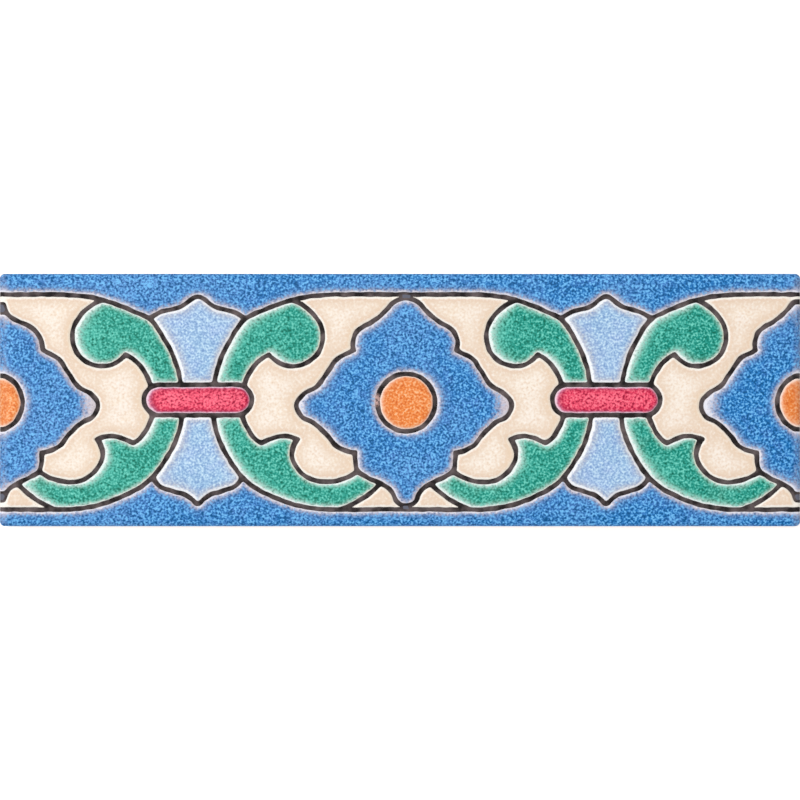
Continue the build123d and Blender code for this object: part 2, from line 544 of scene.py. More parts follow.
def wrap_tree():
    """Build the group that lays a flat sheet over the tile's face and bends it over the arris."""
    tree = bpy.data.node_groups.new("Wrap Over Arris", "GeometryNodeTree")
    add_input = tree.interface.new_socket
    add_input(name="Geometry", in_out="INPUT", socket_type="NodeSocketGeometry")
    for name in ("Height", *WRAP_SIZES):
        add_input(name=name, in_out="INPUT", socket_type="NodeSocketFloat")
    add_input(name="Geometry", in_out="OUTPUT", socket_type="NodeSocketGeometry")
    given = add_node(tree, "NodeGroupInput").outputs
    place = add_node(tree, "GeometryNodeInputPosition")
    corner = add_node(tree, "ShaderNodeCombineXYZ", {0: given["Half Length"], 1: given["Half Width"]})
    minus = add_node(tree, VECTOR_MATH, {0: corner, "Scale": -1.0}, operation="SCALE")
    above = add_node(tree, VECTOR_MATH, {0: place, 1: minus}, operation="MAXIMUM")
    base = add_node(tree, VECTOR_MATH, {0: above, 1: corner}, operation="MINIMUM")
    past = add_node(tree, VECTOR_MATH, {0: place, 1: base}, operation="SUBTRACT")
    run = add_node(tree, VECTOR_MATH, {0: past}, operation="LENGTH").outputs["Value"]
    way = add_node(tree, VECTOR_MATH, {0: past}, operation="NORMALIZE")
    radius = given["Arris Radius"]
    turned = add_node(tree, MATH, {0: run, 1: radius}, operation="DIVIDE")
    angle = add_node(tree, MATH, {0: turned, 1: math.pi / 2}, operation="MINIMUM")
    arc = add_node(tree, MATH, {0: radius, 1: angle}, operation="MULTIPLY")
    drop = add_node(tree, MATH, {0: run, 1: arc}, operation="SUBTRACT")
    sine = add_node(tree, MATH, {0: angle}, operation="SINE")
    cosine = add_node(tree, MATH, {0: angle}, operation="COSINE")
    stand = add_node(tree, MATH, {0: radius, 1: given["Height"]}, operation="ADD")
    out = add_node(tree, MATH, {0: stand, 1: sine}, operation="MULTIPLY")
    rise = add_node(tree, MATH, {0: stand, 1: cosine, 2: given["Base Height"]}, operation="MULTIPLY_ADD")
    sunk = add_node(tree, MATH, {0: rise, 1: radius}, operation="SUBTRACT")
    height = add_node(tree, MATH, {0: sunk, 1: drop}, operation="SUBTRACT")
    side = add_node(tree, VECTOR_MATH, {0: way, "Scale": out}, operation="SCALE")
    up = add_node(tree, "ShaderNodeCombineXYZ", {2: height})
    flat = add_node(tree, VECTOR_MATH, {0: base, 1: side}, operation="ADD")
    final = add_node(tree, VECTOR_MATH, {0: flat, 1: up}, operation="ADD")
    moved = add_node(tree, "GeometryNodeSetPosition", {"Geometry": given["Geometry"], "Position": final})
    add_node(tree, "NodeGroupOutput", {"Geometry": moved})
    return tree


def coat_tree(name, wrap, inputs, shape):
    """Build a tree that gives a sheet a height from the distance to its shore, and wraps it over the tile.

    The shape function adds the nodes that work out the height.
    """
    tree = bpy.data.node_groups.new(name, "GeometryNodeTree")
    add_input = tree.interface.new_socket
    add_input(name="Geometry", in_out="INPUT", socket_type="NodeSocketGeometry")
    for label in (*WRAP_SIZES, "Sunk Depth", *inputs):
        add_input(name=label, in_out="INPUT", socket_type="NodeSocketFloat")
    add_input(name="Material", in_out="INPUT", socket_type="NodeSocketMaterial")
    add_input(name="Geometry", in_out="OUTPUT", socket_type="NodeSocketGeometry")
    given = add_node(tree, "NodeGroupInput").outputs
    place = add_node(tree, "GeometryNodeInputPosition")
    nearest = {}
    for kind in ("shore", "lip"):
        name = kind + "_edge"
        flag = add_node(tree, "GeometryNodeInputNamedAttribute", {"Name": name}, data_type="BOOLEAN")
        edges = add_node(
            tree, "GeometryNodeSeparateGeometry",
            {"Geometry": given["Geometry"], "Selection": flag.outputs["Attribute"]}, domain="EDGE",
        )
        nearest[kind] = add_node(
            tree, "GeometryNodeProximity", {"Geometry": edges.outputs["Selection"]}, target_element="EDGES",
        )
    shore = nearest["shore"].outputs["Distance"]
    height = shape(tree, given, shore, nearest["lip"].outputs)
    under = add_node(tree, "GeometryNodeInputNamedAttribute", {"Name": "under"}, data_type="FLOAT")
    sunk = add_node(tree, MATH, {0: given["Sunk Depth"], 1: -1.0}, operation="MULTIPLY")
    level = add_node(tree, MIX, {0: under.outputs["Attribute"], 2: height, 3: sunk}, data_type="FLOAT")
    way = add_node(
        tree, VECTOR_MATH, {0: nearest["shore"].outputs["Position"], 1: place}, operation="SUBTRACT",
    )
    unit = add_node(tree, VECTOR_MATH, {0: way}, operation="NORMALIZE")
    flank = add_node(tree, "ShaderNodeSeparateXYZ", {0: unit})
    in_mm = add_node(tree, MATH, {0: shore, 1: 1 / MM}, operation="MULTIPLY")
    geometry = given["Geometry"]
    soft = add_node(
        tree, "GeometryNodeBlurAttribute", {"Value": flank, "Iterations": FLANK_BLUR}, data_type="FLOAT",
    )
    for label, value in (("shore", in_mm), ("flank", soft)):
        geometry = add_node(
            tree, "GeometryNodeStoreNamedAttribute", {"Geometry": geometry, "Name": label, "Value": value},
            data_type="FLOAT", domain="POINT",
        )
    passed = {label: given[label] for label in WRAP_SIZES}
    wrapped = add_node(
        tree, "GeometryNodeGroup", {"Geometry": geometry, "Height": level, **passed}, node_tree=wrap,
    )
    real = add_node(tree, "GeometryNodeRealizeInstances", {"Geometry": wrapped})
    done = add_node(tree, "GeometryNodeSetMaterial", {"Geometry": real, "Material": given["Material"]})
    add_node(tree, "NodeGroupOutput", {"Geometry": done})
    return tree


def quarter_ellipse(tree, distance, width):
    """Add nodes for a profile that rises steeply at distance 0 and levels off at width."""
    share = add_node(tree, MATH, {0: distance, 1: width}, operation="DIVIDE", use_clamp=True)
    rest = add_node(tree, MATH, {0: 1.0, 1: share}, operation="SUBTRACT")
    square = add_node(tree, MATH, {0: rest, 1: rest}, operation="MULTIPLY")
    left = add_node(tree, MATH, {0: 1.0, 1: square}, operation="SUBTRACT")
    return add_node(tree, MATH, {0: left}, operation="SQRT")


def glaze_shape(tree, given, shore, lip):
    """Add the nodes for a glaze's height: a steep bank, a rippled crown, and a thin coat over the arris."""
    bank = quarter_ellipse(tree, shore, given["Bank Width"])
    crown = add_node(tree, MATH, {0: given["Crown Height"], 1: given["Edge Height"]}, operation="SUBTRACT")
    risen = add_node(tree, MATH, {0: bank, 1: crown, 2: given["Edge Height"]}, operation="MULTIPLY_ADD")
    place = add_node(tree, "GeometryNodeInputPosition")
    size = add_node(tree, MATH, {0: 1.0, 1: given["Ripple Size"]}, operation="DIVIDE")
    waves = add_node(tree, NOISE, {"Vector": place, "Scale": size, "Detail": 1.0})
    even = add_node(tree, MATH, {0: waves, 1: MEAN}, operation="SUBTRACT")
    swell = add_node(tree, MATH, {0: even, 1: given["Ripple Height"]}, operation="MULTIPLY")
    ripple = add_node(tree, MATH, {0: swell, 1: bank, 2: risen}, operation="MULTIPLY_ADD")
    axes = add_node(tree, "ShaderNodeSeparateXYZ", {0: place}).outputs
    inset = []
    for axis, half in ((0, "Half Length"), (1, "Half Width")):
        size = add_node(tree, MATH, {0: axes[axis]}, operation="ABSOLUTE")
        inset.append(add_node(tree, MATH, {0: size, 1: given[half]}, operation="SUBTRACT"))
    past = add_node(tree, MATH, {0: inset[0], 1: inset[1]}, operation="MAXIMUM")
    thin = add_node(
        tree, MAP_RANGE,
        {0: past, 1: given["Thin From"], 2: given["Thin To"], 3: 1.0, 4: given["Thin Share"]},
        interpolation_type="SMOOTHSTEP",
    )
    has_lip = add_node(tree, MATH, {0: lip["Distance"], 1: given["Lip Width"]}, operation="MINIMUM")
    no_lip = add_node(tree, MATH, {0: 1.0, 1: lip["Is Valid"]}, operation="SUBTRACT")
    inland = add_node(tree, MATH, {0: no_lip, 1: given["Lip Width"], 2: has_lip}, operation="MULTIPLY_ADD")
    edge = quarter_ellipse(tree, inland, given["Lip Width"])
    coat = add_node(tree, MATH, {0: ripple, 1: thin}, operation="MULTIPLY")
    return add_node(tree, MATH, {0: coat, 1: edge}, operation="MULTIPLY")


def line_shape(tree, given, shore, lip):
    """Add the nodes for the dry line's height: a low bead, highest along its middle."""
    bead = quarter_ellipse(tree, shore, given["Bead Width"])
    return add_node(
        tree, MATH, {0: bead, 1: given["Bead Height"], 2: given["Line Height"]}, operation="MULTIPLY_ADD",
    )


def shaped(piece, tree, values):
    """Run a tree on a piece with these inputs, and make the result its plain mesh."""
    modifier = piece.modifiers.new(tree.name, "NODES")
    modifier.node_group = tree
    for item in tree.interface.items_tree:
        if item.in_out == "INPUT" and item.name in values:
            modifier[item.identifier] = values[item.name]
    depsgraph = bpy.context.evaluated_depsgraph_get()
    mesh = bpy.data.meshes.new_from_object(piece.evaluated_get(depsgraph), depsgraph=depsgraph)
    piece.modifiers.remove(modifier)
    old = piece.data
    piece.data = mesh
    bpy.data.meshes.remove(old)
    mesh.name = piece.name
    for label in ("under", "shore_edge", "lip_edge"):
        attribute = mesh.attributes.get(label)
        if attribute:
            mesh.attributes.remove(attribute)
    return piece


def hand_over(piece):
    """Make a piece ride with the tile and stand for its CAD node, which is hidden."""
    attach(piece, BODY)
    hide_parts(NODE)


def base_values(tile):
    """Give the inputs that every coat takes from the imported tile."""
    return dict(zip(WRAP_SIZES, (tile.half_length, tile.half_width, tile.arris, tile.floor_z)))


# Materials

# Widths of their patterns: the strays of a glaze's rim, its clouds, mottling and broad patches, the line's
# grain and strokes, and the clay's clouds and grog. The real grain of the line and the clay is about a tenth
# of a millimetre, and is drawn coarser so that it shows.
CREEP_SIZE = 0.6 * MM
CLOUD_SIZE = 5 * MM
MOTTLE_SIZE = 2.6 * MM
PATCH_SIZE = 12 * MM
LINE_GRAIN = 0.36 * MM
STROKE_SIZE = 2.2 * MM
CLAY_CLOUD = 9 * MM
GROG_SIZE = 0.5 * MM

# Middle of a noise
MEAN = 0.5

# Gloss and relief of each surface. The glaze reflects little, so that its dark colours stay deep.
GLAZE_SURFACE = {"Roughness": 0.38, "IOR": 1.5, "Specular IOR Level": 0.15}
GLAZE_BUMP = {"Strength": 0.4, "Distance": 0.02 * MM}
LINE_SURFACE = {"Roughness": 0.8, "Specular IOR Level": 0.3}
LINE_BUMP = {"Strength": 0.6, "Distance": 0.05 * MM}
CLAY_SURFACE = {"Roughness": 0.85, "IOR": 1.5}
CLAY_BUMP = {"Strength": 0.7, "Distance": 0.08 * MM}

# The worn coat before the short ends: the length of it, the share that is worn off, and that by its noise
WORN_RUN = 1.0 * MM
END_WEAR = 0.4
WORN = {1: 0.3, 2: 0.6, 3: END_WEAR / 2, 4: END_WEAR}

# Side points of the quatrefoils, by their distance from the tile's middle, the run over which the coat thins
# there, and how far its rim strays
SIDE_POINTS = ((20.4 * MM, -1.1 * MM, 0.0), (58.6 * MM, -1.1 * MM, 0.0))
STARVED = {1: 1.0 * MM, 2: 3.6 * MM}
POINT_CREEP = 3 * MM

# Shares of a coat where tints begin and are full, where its noises turn into tint and patches, and where the
# painted shade on its rim ends, with how strong each is
THICK = {1: 0.5, 2: 0.95}
MOTTLED = {1: 0.5, 2: 0.75, 3: 0.0, 4: 0.4}
PATCHY = {1: 0.44, 2: 0.66, 3: 0.0}
SHADED_RIM = {1: 0.2, 2: 0.62, 3: 0.8, 4: 0.0}

# Strength of the specks in the thinnest coat
FAINT_SPECKS = 0.3

# The dry line where it is worn, where it pools in a web, and where the glazes have nearly broken through it,
# on the ring of the middle roundel
WORN_LINE = {1: 0.38, 2: 0.72}
WORN_COLOUR = "#6c6060"
WEB = {1: 0.45, 2: 0.54}
WEB_COLOUR = "#646674"
THIN_SPOT = (-4.9 * MM, 0.0, 9.15 * MM)
NEAR_SPOT = {1: 1.6 * MM, 2: 0.5 * MM, 3: 0.0, 4: 1.0}
BREAKS = {1: 0.32, 2: 0.46}
BROKEN_COLOUR = "#d8b0a8"

# The clay's paler clouds and its flecks of grog
PALE_CLAY = "#d9b59b"
FLECKS = {1: 0.6, 2: 0.75}
FLECK_COLOUR = "#bb8f74"


def rgb(code):
    """Give a hex colour as a socket takes it, with full opacity."""
    return (*linear(code), 1.0)


def empty_material(name):
    """Make a material with an empty tree of nodes. Gives both."""
    material = bpy.data.materials.new(name)
    material.use_nodes = True
    material.node_tree.nodes.clear()
    return material, material.node_tree


def glaze_material(name, look, colour):
    """Build a glaze brushed on and fired: soft gloss over specks of pigment.

    It thins to a pale rim beside the dry line. Where the line is to its left the rim is painted paler and
    wider, as a painted highlight from light from the left, and where the line is to its right it takes a
    warmer painted shade.
    """
    material, tree = empty_material(name)
    place = add_node(tree, "ShaderNodeTexCoord").outputs["Object"]
    shore = add_node(tree, "ShaderNodeAttribute", attribute_name="shore").outputs["Fac"]
    flank = add_node(tree, "ShaderNodeAttribute", attribute_name="flank").outputs["Fac"]

    # How fast the glaze thickens inward from the line, by the side that the line is on. The difference
    # between the sides paints light from the left: the pale rim where the line is to the left is widened as a
    # painted highlight, and the other side is left darker as painted shade
    right = add_node(tree, MATH, {0: flank, 1: 1.0}, operation="MULTIPLY", use_clamp=True)
    left = add_node(tree, MATH, {0: flank, 1: -1.0}, operation="MULTIPLY", use_clamp=True)
    level_run, left_run, right_run = look["runs"]
    run = add_node(tree, MATH, {0: left, 1: left_run - level_run, 2: level_run}, operation="MULTIPLY_ADD")
    run = add_node(tree, MATH, {0: right, 1: right_run - level_run, 2: run}, operation="MULTIPLY_ADD")
    ragged = add_node(tree, NOISE, {"Vector": place, "Scale": 1 / CREEP_SIZE, "Detail": 2.0})
    creep = add_node(tree, MATH, {0: ragged, 1: MEAN}, operation="SUBTRACT")
    inland = add_node(tree, MATH, {0: creep, 1: look["ragged"], 2: shore}, operation="MULTIPLY_ADD")
    inland = add_node(tree, MATH, {0: inland, 1: 0.0}, operation="MAXIMUM")
    share = add_node(tree, MATH, {0: inland, 1: run}, operation="DIVIDE")
    minus = add_node(tree, MATH, {0: share, 1: -1.0}, operation="MULTIPLY")
    bare = add_node(tree, MATH, {0: minus}, operation="EXPONENT")
    cover = add_node(tree, MATH, {0: 1.0, 1: bare}, operation="SUBTRACT")

    # Clouds a few millimetres wide
    clouds = add_node(tree, NOISE, {"Vector": place, "Scale": 1 / CLOUD_SIZE, "Detail": 1.0})
    cloud = add_node(tree, MATH, {0: clouds, 1: MEAN}, operation="SUBTRACT")
    patchy = add_node(tree, MATH, {0: cloud, 1: look["clouds"], 2: 1.0}, operation="MULTIPLY_ADD")
    full = add_node(tree, MATH, {0: cover, 1: patchy}, operation="MULTIPLY")

    # A thin, worn coat in the last millimetre before either short end
    along, across, _ = add_node(tree, "ShaderNodeSeparateXYZ", {0: place}).outputs
    reach = add_node(tree, MATH, {0: along}, operation="ABSOLUTE")
    at_end = add_node(tree, MAP_RANGE, {0: reach, 1: tile.half_length - WORN_RUN, 2: tile.half_length})
    rubbed = add_node(tree, MAP_RANGE, {0: ragged, **WORN})
    lost = add_node(tree, MATH, {0: at_end, 1: rubbed}, operation="MULTIPLY")

    # Little glaze in the side points of the quatrefoils, where the brush hardly reaches
    beside = add_node(tree, "ShaderNodeCombineXYZ", {0: reach, 1: across})
    gaps = [
        add_node(tree, VECTOR_MATH, {0: beside, 1: point}, operation="DISTANCE").outputs["Value"]
        for point in SIDE_POINTS
    ]
    nearest = add_node(tree, MATH, {0: gaps[0], 1: gaps[1]}, operation="MINIMUM")
    nearest = add_node(tree, MATH, {0: creep, 1: POINT_CREEP, 2: nearest}, operation="MULTIPLY_ADD")
    starved = add_node(tree, MAP_RANGE, {0: nearest, **STARVED, 3: look["starved"], 4: 0.0})
    lost = add_node(tree, MATH, {0: lost, 1: starved}, operation="MAXIMUM")
    kept = add_node(tree, MATH, {0: 1.0, 1: lost}, operation="SUBTRACT")
    coat = add_node(tree, MATH, {0: full, 1: kept}, operation="MULTIPLY")
    stops = add_node(tree, "ShaderNodeValToRGB", {0: coat})
    ramp = stops.color_ramp
    bare_coat, *thin_coats = look["coats"]
    ramp.elements[0].position, ramp.elements[0].color = bare_coat[0], rgb(bare_coat[1])
    ramp.elements[1].position, ramp.elements[1].color = look["full"], (*colour, 1.0)
    for position, code in thin_coats:
        ramp.elements.new(position).color = rgb(code)

    # Clouds of another tint, in the thick of the coat
    thick = add_node(tree, MAP_RANGE, {0: coat, **THICK})
    mottle = add_node(tree, NOISE, {"Vector": place, "Scale": 1 / MOTTLE_SIZE, "Detail": 2.0})
    tinted = add_node(tree, MAP_RANGE, {0: mottle, **MOTTLED})
    # More of the lighter tint where the line is to the left: painted light from the left
    left_lit = add_node(tree, MATH, {0: left, 1: look["left_light"], 2: tinted}, operation="MULTIPLY_ADD")
    tinted = add_node(tree, MATH, {0: left_lit, 1: thick}, operation="MULTIPLY", use_clamp=True)
    clouded = add_node(tree, MIX, {0: tinted, 6: stops, 7: rgb(look["tint"])}, data_type="RGBA").outputs[2]

    # Broad pale patches, and a paler coat towards the tile's left end
    broad = add_node(tree, NOISE, {"Vector": place, "Scale": 1 / PATCH_SIZE, "Detail": 1.0})
    patch = add_node(tree, MAP_RANGE, {0: broad, **PATCHY, 4: look["patches"]})
    leftward = add_node(
        tree, MAP_RANGE, {0: along, 1: -tile.half_length, 2: tile.half_length, 3: look["drift"], 4: 0.0},
    )
    paleness = add_node(tree, MATH, {0: patch, 1: leftward}, operation="ADD")
    paleness = add_node(tree, MATH, {0: paleness, 1: thick}, operation="MULTIPLY", use_clamp=True)
    clouded = add_node(
        tree, MIX, {0: paleness, 6: clouded, 7: rgb(look["pale"])}, data_type="RGBA",
    ).outputs[2]

    # Painted shade on the rim where the line is to the right, in a warmer colour, for the bank that faces
    # away from light from the left
    rim = add_node(tree, MAP_RANGE, {0: coat, **SHADED_RIM})
    right_shade = add_node(tree, MATH, {0: rim, 1: right}, operation="MULTIPLY")
    rimmed = add_node(tree, MIX, {0: right_shade, 6: clouded, 7: rgb(look["right_shade"])}, data_type="RGBA").outputs[2]

    # Specks of pigment, lighter and darker than the coat
    grain = add_node(tree, NOISE, {"Vector": place, "Scale": 1 / (look["grain"] * MM), "Detail": 1.0})
    specks = add_node(tree, MATH, {0: grain, 1: MEAN}, operation="SUBTRACT")
    strength = add_node(tree, MATH, {0: coat, 1: look["specks"], 2: FAINT_SPECKS}, operation="MULTIPLY_ADD")
    speck = add_node(tree, MATH, {0: specks, 1: strength}, operation="MULTIPLY")
    over = add_node(tree, MATH, {0: speck, 1: 1.0}, operation="MULTIPLY", use_clamp=True)
    under = add_node(tree, MATH, {0: speck, 1: -1.0}, operation="MULTIPLY", use_clamp=True)
    lit = add_node(tree, MIX, {0: over, 6: rimmed, 7: rgb(look["light"])}, data_type="RGBA").outputs[2]
    specked = add_node(tree, MIX, {0: under, 6: lit, 7: rgb(look["dark"])}, data_type="RGBA").outputs[2]

    bump = add_node(tree, "ShaderNodeBump", {"Height": grain, **GLAZE_BUMP})
    shader = add_node(
        tree, "ShaderNodeBsdfPrincipled",
        {"Base Color": specked, **GLAZE_SURFACE, "Normal": bump},
    )
    add_node(tree, "ShaderNodeOutputMaterial", {"Surface": shader})
    return material


# Each glaze, line by line:
# - the colours of its coat from bare at the line inwards
# - how much of a coat is a full one, the run in mm over which it thickens where the line is above or below,
#   to its left and to its right, with the sides differing as painted light from the left, how ragged its rim
#   is, and how uneven its clouds are
# - the colour of the painted shade on its rim where the line is to its right, the tint of its mottling, how
#   much more of that is painted as light where the line is to its left, and how thin the coat is in the side
#   points of the quatrefoils
# - its light and dark specks, their size in mm and their strength. Real pigment is finer than a tenth of a
#   millimetre, and is drawn coarser so that it shows.
# - the paler colour of its broad patches and of the tile's left end, with the share of each
GLAZES = {
    "blue": {
        "coats": ((0.14, "#ece9f2"), (0.3, "#b8b9cf"), (0.48, "#8699be"), (0.68, "#5486c3")),
        "full": 0.88, "runs": (0.9, 1.5, 0.95), "ragged": 0.9, "clouds": 0.3,
        "right_shade": "#d8c4c4", "tint": "#5f80d2", "left_light": 0.05, "starved": 0.62,
        "light": "#74c0f6", "dark": "#00548c", "grain": 0.42, "specks": 6.1,
        "pale": "#6c9cda", "patches": 0.35, "drift": 0.3,
    },
    "green": {
        "coats": ((0.24, "#f6fdfb"), (0.46, "#b2d8cc"), (0.66, "#98c6ba"), (0.8, "#589e8a")),
        "full": 0.94, "runs": (0.5, 1.4, 0.42), "ragged": 0.6, "clouds": 0.25,
        "right_shade": "#e4dcb4", "tint": "#56c6b4", "left_light": 0.75, "starved": 0.0,
        "light": "#76d8c4", "dark": "#006a54", "grain": 0.42, "specks": 4.4,
        "pale": "#4ebca6", "patches": 0.15, "drift": 0.28,
    },
    "sky": {
        "coats": ((0.4, "#fcfcfe"), (0.56, "#c6cad6"), (0.72, "#b6bdcb"), (0.86, "#aabfd8")),
        "full": 0.97, "runs": (0.6, 0.9, 0.5), "ragged": 0.5, "clouds": 0.2,
        "right_shade": "#e0d8dc", "tint": "#a4b4ec", "left_light": 0.1, "starved": 0.0,
        "light": "#d2ecfc", "dark": "#7a9ccc", "grain": 0.42, "specks": 4.0,
        "pale": "#b0c6ec", "patches": 0.3, "drift": 0.1,
    },
    "cream": {
        "coats": ((0.16, "#fff9f0"), (0.34, "#e9cfb9"), (0.5, "#ebd4be"), (0.7, "#f1decb")),
        "full": 0.92, "runs": (1.4, 1.1, 1.7), "ragged": 0.6, "clouds": 0.3,
        "right_shade": "#f4dcbe", "tint": "#f6dfc0", "left_light": 0.0, "starved": 0.0,
        "light": "#fff6ec", "dark": "#ead0b8", "grain": 0.5, "specks": 3.4,
        "pale": "#fbeedb", "patches": 0.3, "drift": 0.1,
    },
    "crimson": {
        "coats": ((0.2, "#f4d4e4"), (0.42, "#c86488"), (0.66, "#c02a4e"), (0.86, "#ee3e62")),
        "full": 0.96, "runs": (0.5, 1.3, 0.45), "ragged": 0.3, "clouds": 0.2,
        "right_shade": "#b0183e", "tint": "#e02850", "left_light": 0.0, "starved": 0.0,
        "light": "#ff7c90", "dark": "#a00434", "grain": 0.42, "specks": 5.4,
        "pale": "#fa6c86", "patches": 0.2, "drift": 0.1,
    },
    "orange": {
        "coats": ((0.2, "#ffe6d8"), (0.46, "#f2a87c"), (0.7, "#ea8440")),
        "full": 0.95, "runs": (0.45, 0.9, 0.4), "ragged": 0.3, "clouds": 0.2,
        "right_shade": "#f8b48c", "tint": "#f0905c", "left_light": 0.0, "starved": 0.0,
        "light": "#fdc494", "dark": "#d4662c", "grain": 0.42, "specks": 4.2,
        "pale": "#f6a46c", "patches": 0.2, "drift": 0.3,
    },
}


def line_material(colour):
    """Build the painted manganese line: matt, brown black, uneven, and paler and bluer where it pools."""
    material, tree = empty_material("Painted Manganese Dry Line")
    place = add_node(tree, "ShaderNodeTexCoord").outputs["Object"]
    shore = add_node(tree, "ShaderNodeAttribute", attribute_name="shore").outputs["Fac"]
    grain = add_node(tree, NOISE, {"Vector": place, "Scale": 1 / LINE_GRAIN, "Detail": 2.0})
    strokes = add_node(tree, NOISE, {"Vector": place, "Scale": 1 / STROKE_SIZE, "Detail": 4.0})
    worn = add_node(tree, MAP_RANGE, {0: strokes, **WORN_LINE})
    dark = add_node(tree, MIX, {0: worn, 6: (*colour, 1.0), 7: rgb(WORN_COLOUR)}, data_type="RGBA").outputs[2]
    web = add_node(tree, MAP_RANGE, {0: shore, **WEB}, interpolation_type="SMOOTHSTEP")
    pooled = add_node(tree, MIX, {0: web, 6: dark, 7: rgb(WEB_COLOUR)}, data_type="RGBA").outputs[2]

    # The glazes have nearly broken through the ring of the middle roundel, on its left
    gap = add_node(tree, VECTOR_MATH, {0: place, 1: THIN_SPOT}, operation="DISTANCE").outputs["Value"]
    near_gap = add_node(tree, MAP_RANGE, {0: gap, **NEAR_SPOT})
    patches = add_node(tree, MAP_RANGE, {0: grain, **BREAKS})
    broken = add_node(tree, MATH, {0: near_gap, 1: patches}, operation="MULTIPLY")
    drawn = add_node(tree, MIX, {0: broken, 6: pooled, 7: rgb(BROKEN_COLOUR)}, data_type="RGBA").outputs[2]
    bump = add_node(tree, "ShaderNodeBump", {"Height": grain, **LINE_BUMP})
    shader = add_node(
        tree, "ShaderNodeBsdfPrincipled",
        {"Base Color": drawn, **LINE_SURFACE, "Normal": bump},
    )
    add_node(tree, "ShaderNodeOutputMaterial", {"Surface": shader})
    return material


def bisque_material(colour):
    """Build the pressed and fired clay: matt, buff pink, with fine grog and soft mottling."""
    material, tree = empty_material("Pressed Bisque Clay")
    place = add_node(tree, "ShaderNodeTexCoord").outputs["Object"]
    cloud = add_node(tree, NOISE, {"Vector": place, "Scale": 1 / CLAY_CLOUD, "Detail": 3.0})
    grog = add_node(tree, NOISE, {"Vector": place, "Scale": 1 / GROG_SIZE, "Detail": 3.0})
    body = add_node(tree, MIX, {0: cloud, 6: rgb(PALE_CLAY), 7: (*colour, 1.0)}, data_type="RGBA").outputs[2]
    fleck = add_node(tree, MAP_RANGE, {0: grog, **FLECKS})
    clay = add_node(tree, MIX, {0: fleck, 6: body, 7: rgb(FLECK_COLOUR)}, data_type="RGBA").outputs[2]
    bump = add_node(tree, "ShaderNodeBump", {"Height": grog, **CLAY_BUMP})
    shader = add_node(tree, "ShaderNodeBsdfPrincipled", {"Base Color": clay, **CLAY_SURFACE, "Normal": bump})
    add_node(tree, "ShaderNodeOutputMaterial", {"Surface": shader})
    return material


# Settings

def size_setting(name, description, millimetres):
    """Give a length that a user may change."""
    return FloatProperty(
        name=name, description=description, default=millimetres * MM, unit="LENGTH", precision=5,
    )


def colour_setting(name, description, code):
    """Give a colour that a user may change."""
    return FloatVectorProperty(
        name=name, description=description, default=linear(code), subtype="COLOR", min=0, max=1,
    )


class CoatSizes(bpy.types.PropertyGroup):
    """Sizes of the glazes and the dry line."""

    crown_height: size_setting("Crown Height", "Height of a glaze above the line's floor", 0.46)
    edge_height: size_setting("Edge Height", "Height of a glaze where it meets the line", 0.1)
    bank_width: size_setting("Bank Width", "Run over which a glaze rises to its crown", 0.9)
    ripple_height: size_setting("Ripple Height", "Height of the ripples of a glaze", 0.05)
    ripple_size: size_setting("Ripple Size", "Width of the ripples of a glaze", 5)
    creep: size_setting("Creep", "How far a glaze's edge strays from the drawing", 0.12)
    creep_wave: size_setting("Creep Wave", "Length along the edge over which it strays", 1.6)
    lip_drop: size_setting("Lip Drop", "How far the glaze runs down the tile's sides", 0.6)
    lip_waver: size_setting("Lip Waver", "How unevenly the glaze ends on the sides", 0.5)
    lip_wave: size_setting("Lip Wave", "Length along the side over which its end wavers", 4)
    line_height: size_setting("Line Height", "Thickness of the dry line's coat", 0.04)
    bead_height: size_setting("Bead Height", "Rise of the dry line along its middle", 0.06)


class ClayColours(bpy.types.PropertyGroup):
    """Main colours of the tile and of its stage."""

    blue: colour_setting("Blue Glaze", "Colour of a full coat of the blue glaze", "#1c79c3")
    green: colour_setting("Green Glaze", "Colour of a full coat of the green glaze", "#029484")
    sky: colour_setting("Sky Glaze", "Colour of a full coat of the pale blue glaze", "#9bc2e4")
    cream: colour_setting("Cream Glaze", "Colour of a full coat of the cream glaze", "#f9ecdf")
    crimson: colour_setting("Crimson Glaze", "Colour of a full coat of the crimson glaze", "#fc5c78")
    orange: colour_setting("Orange Glaze", "Colour of a full coat of the orange glaze", "#f48732")
    dry_line: colour_setting("Dry Line", "Colour of the drawn line", "#181112")
    bisque: colour_setting("Bisque", "Colour of the fired clay", "#e6c9b3")
    floor: colour_setting("Floor", "Colour of the floor under the tile", "#f2f2f2")


class StageSettings(bpy.types.PropertyGroup):
    """Camera and light."""

    camera_height: FloatProperty(
        name="Camera Height", description="Height of the camera over the glazed face",
        default=1.4, unit="LENGTH",
    )
    sensor_width: FloatProperty(
        name="Sensor Width", description="Width of the camera's sensor, in millimetres", default=36.0,
    )
    fill: FloatProperty(name="Fill", description="Strength of the light from all round", default=0.535, min=0)
    lamp_power: FloatProperty(
        name="Lamp Power", description="Power of the soft lamp, in watts", default=12.0, min=0,
    )


# Operators

tile = Tile()


class TILE_OT_bisque(bpy.types.Operator):
    """Make the fired clay body with its keyed back."""

    bl_idname = "border_tile.bisque"
    bl_label = "Bisque Body"

    def execute(self, context):
        body = bmesh.new()
        body.from_mesh(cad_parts[NODE].data)
        bmesh.ops.remove_doubles(body, verts=body.verts, dist=MERGE)
        centre_z = tile.floor_z - tile.arris
        for vert in body.verts:
            past = min(tile.beyond(vert.co.x, vert.co.y), tile.arris)
            roof = centre_z + math.sqrt(tile.arris**2 - past**2)
            vert.co.z = min(vert.co.z, roof)
        bmesh.ops.remove_doubles(body, verts=body.verts, dist=TOUCH)
        bmesh.ops.dissolve_degenerate(body, edges=body.edges, dist=TOUCH)
        bmesh.ops.recalc_face_normals(body, faces=body.faces)
        mesh = bpy.data.meshes.new("bisque_body")
        body.to_mesh(mesh)
        body.free()
        mesh.materials.append(bisque_material(context.scene.border_tile_colours.bisque))
        piece = bpy.data.objects.new("bisque_body", mesh)
        context.scene.collection.objects.link(piece)
        hand_over(piece)
        return {"FINISHED"}


